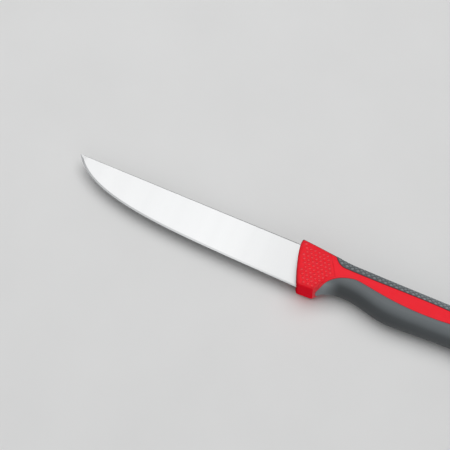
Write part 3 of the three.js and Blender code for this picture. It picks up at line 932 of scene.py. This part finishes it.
def red_finish(name, reds, shaded, shaded_turn, gloss, glow):
    """Half-gloss red plastic with the faint grain of its mould, slightly uneven depth of colour, and light
    and shade painted by the way each face turns.
    """
    material, tree, shader = new_finish(name)
    grain, blotch = mottle(tree, RED_GRAIN, RED_BLOTCH)
    outward = own_place(tree, "Normal")
    axes = split(tree, outward)
    on_flank = step_between(tree, reckon(tree, "ABSOLUTE", axes["Z"]), *FLANK_TURN)
    on_slope = step_between(tree, axes["X"], *SLOPE_TURN)
    inputs = {0: outward, 1: SHADED_TOWARDS}
    turned = node(tree, "ShaderNodeVectorMath", inputs, "Value", operation="DOT_PRODUCT")
    # Painted light: steep side faces are painted a purer red than the flanks.
    red = tint(tree, on_flank, PAINTED_SIDE_RED, tint(tree, blotch, *reds))
    # Painted shade: faces turned towards the blade and the back are painted dark.
    red = tint(tree, step_between(tree, turned, *shaded_turn), red, shaded)
    # Gloss by the way each face turns: none on the steep sides, which hides their reflection, and more on
    # faces turned to the butt, a painted highlight.
    flank_gloss = spread(tree, on_flank, 0.0, gloss)
    painted_slope_highlight = spread(tree, on_slope, 0.0, PAINTED_SLOPE_HIGHLIGHT)
    # Painted shade from the piece's attribute darkens the red in seams and hollows.
    feed(tree, shader, {
        "Base Color": tint(tree, seam_shade(tree, grain), red, PAINTED_SHADE_RED),
        "Roughness": spread(tree, grain, *RED_ROUGHNESS),
        "Specular IOR Level": reckon(tree, "MAXIMUM", flank_gloss, painted_slope_highlight),
        "Subsurface Weight": glow,
        "Subsurface Radius": RED_GLOW_TINT,
        "Subsurface Scale": RED_GLOW,
    })
    raise_grain(tree, shader, grain, MOULD_BUMP, MOULD_BUMP_STRENGTH)
    return material


def front_sections():
    """The rounded front edge of the bolster, drawn in along a quarter circle."""
    turns = np.linspace(0, math.pi / 2, FRONT_STEPS)[:-1]
    return [
        Section(FRONT_ROUND * (1 - math.cos(turn)), FRONT_ROUND * (1 - math.sin(turn)), 1.0)
        for turn in turns
    ]


RED_PLASTIC = red_finish("moulded_red", REDS, RED_SHADED, SHADED_TURN, CORE_GLOSS, CORE_GLOW)
body_sections = [
    Section(x, 0, 1 - ease(x, FRONT_ROUND, BOLSTER_LENGTH - FRONT_ROUND)) for x in stations()
]
core_tops, core_painted_shades = zip(*[core_line(section) for section in front_sections() + body_sections])
core_bottoms = [mirrored(points) for points in core_tops]
core = closed_body("moulded_core", core_tops, core_bottoms, (core_painted_shades, core_painted_shades), RED_PLASTIC)
smooth(core, CORE_CREASE)
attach(core, "root")
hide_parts("handle_core")


# Bolster pips: rows of low round pips on both flanks of the bolster, moulded in one with the core,
# that keep a pinching finger from slipping. They grow higher away from the blade and end where the
# handle narrows.
PIP_PITCH = 2.55
PIP_ROW_GAP = 2.2
PIP_COLUMNS = 12
PIP_ROWS = 13
PIP_CENTRE_X = 13
PIP_CENTRE_Y = -12.6
PIP_WIDTH = 1.6
PIP_FADE_FROM = -2
PIP_FULL_FROM = 8
PIP_CREASE = 60
PIP_PATCH_STEPS = 40
PAINTED_LIT_PIP_REDS = ((0.98, 0.048, 0.062, 1), (1.0, 0.066, 0.078, 1))
PIP_RED_SHADED = (0.48, 0.010, 0.018, 1)
PIP_SHADED_TURN = (0.2, 0.5)
PIP_GLOSS = 0.25
PIP_GLOW = 0.2
OUTLINE_STEPS = 600
DOME_SEGMENTS = 10
DOME_RINGS = 6
BLOCK_SIDES = 4
BLOCK_TOP_SHARE = 0.7
BLOCK_DEPTH = 2.0
LEAST_STUD = 0.25
UV_UNIT = 0.1


def lattice_tree():
    """Lays rows of studs on a skin, every second row shifted by half a pitch, facing out of the skin."""
    tree, sizes, end = geometry_tree("studs_on_skin", (
        "Pitch", "Row Gap", "Centre X", "Centre Y", "Length", "Width", "Height", "Fade From", "Fade To",
    ), {"Columns": "Int", "Rows": "Int", "Round": "Bool", "Finish": "Material"})
    plus, minus, times, over = sums(tree)
    depth = times(sizes["Row Gap"], minus(sizes["Rows"], 1.0))
    grid = node(tree, "GeometryNodeMeshGrid", {
        "Size X": times(sizes["Pitch"], minus(sizes["Columns"], 1.0)), "Size Y": depth,
        "Vertices X": sizes["Columns"], "Vertices Y": sizes["Rows"],
    })
    place = split(tree, node(tree, "GeometryNodeInputPosition", {}))
    row = reckon(tree, "ROUND", over(plus(place["Y"], times(depth, 0.5)), sizes["Row Gap"]))
    shift = times(reckon(tree, "MODULO", row, 2.0), times(sizes["Pitch"], 0.5))
    on_map = joined(tree, {
        "X": over(plus(plus(place["X"], shift), sizes["Centre X"]), UV_UNIT),
        "Y": over(plus(place["Y"], sizes["Centre Y"]), UV_UNIT),
    })
    wrap = named_fact(tree, "wrap", "FLOAT_VECTOR")
    seat, outward = [
        node(tree, "GeometryNodeSampleUVSurface", {
            "Mesh": sizes["Geometry"], "Value": node(tree, source, {}), "UV Map": wrap, "Sample UV": on_map,
        }, None, data_type="FLOAT_VECTOR")
        for source in ("GeometryNodeInputPosition", "GeometryNodeInputNormal")
    ]
    kept = tree.nodes.new("GeometryNodeCaptureAttribute")
    for name, kind in (("Seat", "VECTOR"), ("Outward", "VECTOR"), ("On Skin", "BOOLEAN")):
        kept.capture_items.new(kind, name)
    feed(tree, kept, {
        "Geometry": grid, "Seat": seat["Value"], "Outward": outward["Value"], "On Skin": seat["Is Valid"],
    })
    inputs = {"Geometry": kept.outputs["Geometry"], "Position": kept.outputs["Seat"]}
    seated = node(tree, "GeometryNodeSetPosition", inputs)
    inputs = {"Primary Axis": kept.outputs["Outward"], "Secondary Axis": (1, 0, 0)}
    turn = node(tree, "FunctionNodeAxesToRotation", inputs, primary_axis="Z", secondary_axis="X")
    dome = node(tree, "GeometryNodeMeshUVSphere", {"Segments": DOME_SEGMENTS, "Rings": DOME_RINGS})
    block = node(tree, "GeometryNodeMeshCone", {
        "Vertices": BLOCK_SIDES, "Radius Top": BLOCK_TOP_SHARE, "Depth": BLOCK_DEPTH,
    })
    inputs = {"Geometry": block, "Translation": (0, 0, -BLOCK_DEPTH / 2)}
    low_block = node(tree, "GeometryNodeTransform", inputs)
    inputs = {"Switch": sizes["Round"], "False": low_block, "True": dome}
    stud = node(tree, "GeometryNodeSwitch", inputs, input_type="GEOMETRY")
    fade = node(tree, "ShaderNodeMapRange", {
        "Value": split(tree, kept.outputs["Seat"])["X"],
        "From Min": sizes["Fade From"], "From Max": sizes["Fade To"], "To Min": 1.0, "To Max": LEAST_STUD,
    })
    laid = node(tree, "GeometryNodeInstanceOnPoints", {
        "Points": seated, "Selection": kept.outputs["On Skin"], "Instance": stud, "Rotation": turn,
        "Scale": joined(tree, {
            "X": times(sizes["Length"], 0.5), "Y": times(sizes["Width"], 0.5),
            "Z": times(sizes["Height"], fade),
        }),
    })
    end_tree(tree, end, laid, sizes["Finish"])
    return tree


STUDS_ON_SKIN = lattice_tree()


def skin(name, rows, wraps):
    """A patch of the handle's skin with its own flat map, in which studs are laid out."""
    rows, wraps = np.array(rows), np.array(wraps)
    count, across = rows.shape[:2]
    faces = quads(np.arange(count * across).reshape(count, across))
    patch = piece_from(name, in_place(rows.reshape(-1, 3)), faces)
    flat = patch.data.uv_layers.new(name="wrap")
    flat.data.foreach_set("uv", (wraps.reshape(-1, 2) * MM / UV_UNIT)[np.ravel(faces)].ravel())
    return patch


def pip_patch(name, side):
    """The flat of the bolster on one side, set in from its front, back and belly edges."""
    rows, wraps = [], []
    for section in body_sections:
        ahead = PIP_MARGIN * section.swept
        outline = np.linspace(0, section.length, OUTLINE_STEPS)
        within = outline[pip_room(section, outline, ahead) >= PIP_MARGIN]
        if len(within) == 0 or within[-1] - within[0] < PIP_WIDTH:
            break
        places = np.linspace(within[0], within[-1], PIP_PATCH_STEPS)
        line = section.points(places, pip_bed(section, places, ahead))
        line[:, 0] += ahead
        rows.append(line * np.array((1, 1, side)))
        wraps.append(line[:, :2])
    if side < 0:
        rows, wraps = rows[::-1], wraps[::-1]
    return skin(name, rows, wraps)


# Painted light: the pips are painted a paler red than the bolster they are moulded with, and their turned
# sides darker, so they read as lit bumps.
PIP_RED_PAINTED_LIT = red_finish("pip_red_painted_lit", PAINTED_LIT_PIP_REDS, PIP_RED_SHADED, PIP_SHADED_TURN, PIP_GLOSS, PIP_GLOW)
for name, side in (("bolster_pips_upper", 1), ("bolster_pips_lower", -1)):
    pips = pip_patch(name, side)
    grow(pips, STUDS_ON_SKIN, {
        "Pitch": PIP_PITCH * MM, "Row Gap": PIP_ROW_GAP * MM, "Columns": PIP_COLUMNS, "Rows": PIP_ROWS,
        "Centre X": PIP_CENTRE_X * MM, "Centre Y": PIP_CENTRE_Y * MM,
        "Length": PIP_WIDTH * MM, "Width": PIP_WIDTH * MM, "Height": PIP_HEIGHT * MM, "Round": True,
        "Fade From": float(START[0]) + PIP_FULL_FROM * MM,
        "Fade To": float(START[0]) + PIP_FADE_FROM * MM,
        "Finish": PIP_RED_PAINTED_LIT,
    })
    smooth(pips, PIP_CREASE)
    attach(pips, "root")


# Back grip: soft grey elastomer moulded over the handle's back, flush with the red around it and
# rolled in at the seam. It widens from a nose behind the bolster and ends before the butt.
GRIP_THICKNESS = 1.5
GRIP_GAP = 0.06
GRIP_EDGE_ROUND = 0.3
GRIP_LEAST_WIDTH = 0.05
GRIP_STEPS = 34
GRIP_CREASE = 40
STUD_HEIGHT = 0.4
STUD_MARGIN = 0.8
STUD_BED_EASE = 0.4
STUD_START = 21
STUD_FADE = 6
STUD_END = 114
STUD_END_FADE = 1
STUD_BED_SHADE = 0.1
GREYS = ((0.101, 0.113, 0.119, 1), (0.125, 0.139, 0.146, 1))
PAINTED_SHADE_GREY = (0.012, 0.013, 0.014, 1)
GREY_GRAIN = 0.22 * MM
GREY_BLOTCH = 9 * MM
GREY_GRAIN_ROUGHNESS = (-0.05, 0.05)
GREY_BLOTCH_ROUGHNESS = (0.50, 0.64)
GREY_GLOSS = 0.35
PAINTED_LIT_FROM = 6.7
PAINTED_LIT_TO = 9.6
PALM_PAINTED_LIT = 0.9
NOTCH_PAINTED_LIT_TO = 31
BACK_PAINTED_SHADE_SHARE = 0.72
BELLY_PAINTED_SHADE_SHARE = 0.43
PALM_LESS_PAINTED_SHADE = 1.25
NOTCH_PAINTED_LIGHT = 2.2
PALM_PAINTED_LIGHT = 1.1


def painted_grip_light(tree, painted_shade_level):
    """Painted light and shade on the elastomer: darker along the middle of the back and belly, paler towards
    the flanks, in the notch and at the palm.
    """
    plus, minus, times, _ = sums(tree)
    place = place_in_drawing(tree)
    at_palm = step_between(tree, place["X"], STRIP_NECK_X, WAIST_X)
    from_middle = plus(reckon(tree, "ABSOLUTE", place["Z"]), spread(tree, at_palm, 0.0, PALM_PAINTED_LIT))
    on_flank = step_between(tree, from_middle, PAINTED_LIT_FROM, PAINTED_LIT_TO)
    ahead = minus(NOTCH_PAINTED_LIT_TO, place["X"])
    in_notch = step_between(tree, ahead, 0, NOTCH_PAINTED_LIT_TO - BELLY_GRIP_START)
    below = step_between(tree, times(place["Y"], -1.0), STRIP_NECK_BOTTOM, NOTCH_DROP)
    deep = spread(tree, at_palm, painted_shade_level, painted_shade_level * PALM_LESS_PAINTED_SHADE)
    painted_unlit = reckon(tree, "MULTIPLY_ADD", minus(NOTCH_PAINTED_LIGHT, deep), times(in_notch, below), deep)
    painted_lit = reckon(tree, "MULTIPLY_ADD", minus(1.0, painted_unlit), on_flank, painted_unlit)
    return times(painted_lit, spread(tree, at_palm, 1.0, PALM_PAINTED_LIGHT))


def grey_finish(name, greys, painted_shade_level):
    """Matt grey elastomer: a dry fine grain, cloudy, and painted paler on its flanks, in the notch and at
    the palm and darker along its middle.
    """
    material, tree, shader = new_finish(name)
    grain, blotch = mottle(tree, GREY_GRAIN, GREY_BLOTCH)
    # Painted light and shade scale the grey.
    grey = scaled(tree, tint(tree, blotch, *greys), painted_grip_light(tree, painted_shade_level))
    rough_grain = spread(tree, grain, *GREY_GRAIN_ROUGHNESS)
    # Painted shade from the piece's attribute darkens the grey along the seams and between the studs.
    feed(tree, shader, {
        "Base Color": tint(tree, seam_shade(tree, grain), grey, PAINTED_SHADE_GREY),
        "Roughness": reckon(tree, "ADD", rough_grain, spread(tree, blotch, *GREY_BLOTCH_ROUGHNESS)),
        "Specular IOR Level": GREY_GLOSS,
    })
    raise_grain(tree, shader, grain, MOULD_BUMP, MOULD_BUMP_STRENGTH)
    return material


def stud_bed(x, distance):
    """How deep the back grip is sunk under its studs, which end flush with the rest."""
    before_end = 1 - ease(x, STUD_END, STUD_END + STUD_END_FADE)
    along = ease(x, STUD_START, STUD_START + STUD_FADE) * before_end
    return STUD_HEIGHT * along * ease(distance, STUD_MARGIN - STUD_BED_EASE, STUD_MARGIN)


def grip_sheets(section, centre, border, slant):
    """Outer and inner skin of a grip at one station, from the border on one flank round to the other."""
    width = abs(border - centre) - GRIP_GAP
    if width < GRIP_LEAST_WIDTH:
        return None
    steps = EDGE_STEPS * min(1, width / (2 * EDGE_STEPS[-1]))
    edge = border + np.sign(centre - border) * (GRIP_GAP + steps)
    places = np.concatenate((edge, section.spaced(edge[-1], centre, GRIP_STEPS)[1:]))
    distance = np.abs(places - border) * slant
    sunk = rolled(np.maximum(distance - GRIP_GAP * slant, 0), GRIP_EDGE_ROUND)
    # Painted shade along the seam, fainter on the belly grip, and in the bed between the studs.
    near = seam_near(distance)
    if centre == 0:
        bed = stud_bed(section.x, distance)
        sunk = np.maximum(sunk, bed)
        near = np.maximum(near, STUD_BED_SHADE * bed / STUD_HEIGHT)
    else:
        near = near * BELLY_SEAM_SHADE
    halves = section.points(places, sunk), section.points(places, GRIP_THICKNESS)
    outer, inner = [np.concatenate((half, mirrored(half)[-2::-1])) for half in halves]
    return outer, inner, np.concatenate((near, near[-2::-1]))


def grip_body(solid, of_back, material):
    """A soft grip drawn through every station it crosses."""
    sheets = []
    for section in body_sections:
        back, belly = grip_limits(section)
        made = grip_sheets(section, 0.0, *back) if of_back else grip_sheets(section, section.length, *belly)
        if made:
            sheets.append(made)
    outers, inners, painted_shades = zip(*sheets)
    body = closed_body(f"soft_{solid}", outers, inners, (painted_shades, np.ones_like(painted_shades)), material)
    smooth(body, GRIP_CREASE)
    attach(body, "root")
    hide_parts(solid)


grip_body("back_grip", True, grey_finish("back_elastomer", GREYS, BACK_PAINTED_SHADE_SHARE))


# Back studs: small diamond-shaped blocks in staggered rows over the back grip, moulded in one with
# it, that give the thumb its hold. Their middle row lies a hair off the middle of the back, where two
# faces of the skin meet, so that every run seats it on the same face.
STUD_PITCH = 3.33
STUD_ROW_GAP = 1.66
STUD_COLUMNS = 29
STUD_ROWS = 17
STUD_CENTRE_X = 69
STUD_CENTRE_Y = 0.001
STUD_LENGTH = 2.75
STUD_WIDTH = 2.6
STUD_CREASE = 20
STUD_PATCH_STEPS = 24
STUD_LEAST_PATCH = 0.5
# Painted light: the studs are painted paler than the grip they are moulded with, so they read as lit.
PAINTED_LIT_STUD_GREYS = ((0.21, 0.232, 0.242, 1), (0.25, 0.274, 0.285, 1))


def stud_patch(name):
    """The back grip's skin, set in from its border, unrolled about the middle of the back."""
    rows, wraps = [], []
    for section in body_sections:
        width = grip_limits(section)[0][0] - STUD_MARGIN
        if not STUD_START < section.x < STUD_END or width < STUD_LEAST_PATCH:
            continue
        places = np.linspace(0, width, STUD_PATCH_STEPS)
        half = section.points(places, stud_bed(section.x, STUD_MARGIN))
        line = np.concatenate((half[::-1], mirrored(half)[1:]))
        round_back = np.concatenate((places[::-1], -places[1:]))
        rows.append(line)
        wraps.append(np.stack((line[:, 0], round_back), axis=-1))
    return skin(name, rows, wraps)


studs = stud_patch("back_studs")
grow(studs, STUDS_ON_SKIN, {
    "Pitch": STUD_PITCH * MM, "Row Gap": STUD_ROW_GAP * MM, "Columns": STUD_COLUMNS, "Rows": STUD_ROWS,
    "Centre X": STUD_CENTRE_X * MM, "Centre Y": STUD_CENTRE_Y * MM,
    "Length": STUD_LENGTH * MM, "Width": STUD_WIDTH * MM, "Height": STUD_HEIGHT * MM, "Round": False,
    "Fade From": float(START[0]) + (STUD_START + STUD_FADE) * MM,
    "Fade To": float(START[0]) + STUD_START * MM,
    "Finish": grey_finish("stud_elastomer", PAINTED_LIT_STUD_GREYS, BACK_PAINTED_SHADE_SHARE),
})
smooth(studs, STUD_CREASE)
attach(studs, "root")


# Belly grip: the same grey elastomer moulded over the handle's underside, from the finger notch
# behind the bolster to the hook before the butt. It is smooth, and meets the red in a fine seam.
grip_body("belly_grip", False, grey_finish("belly_elastomer", GREYS, BELLY_PAINTED_SHADE_SHARE))
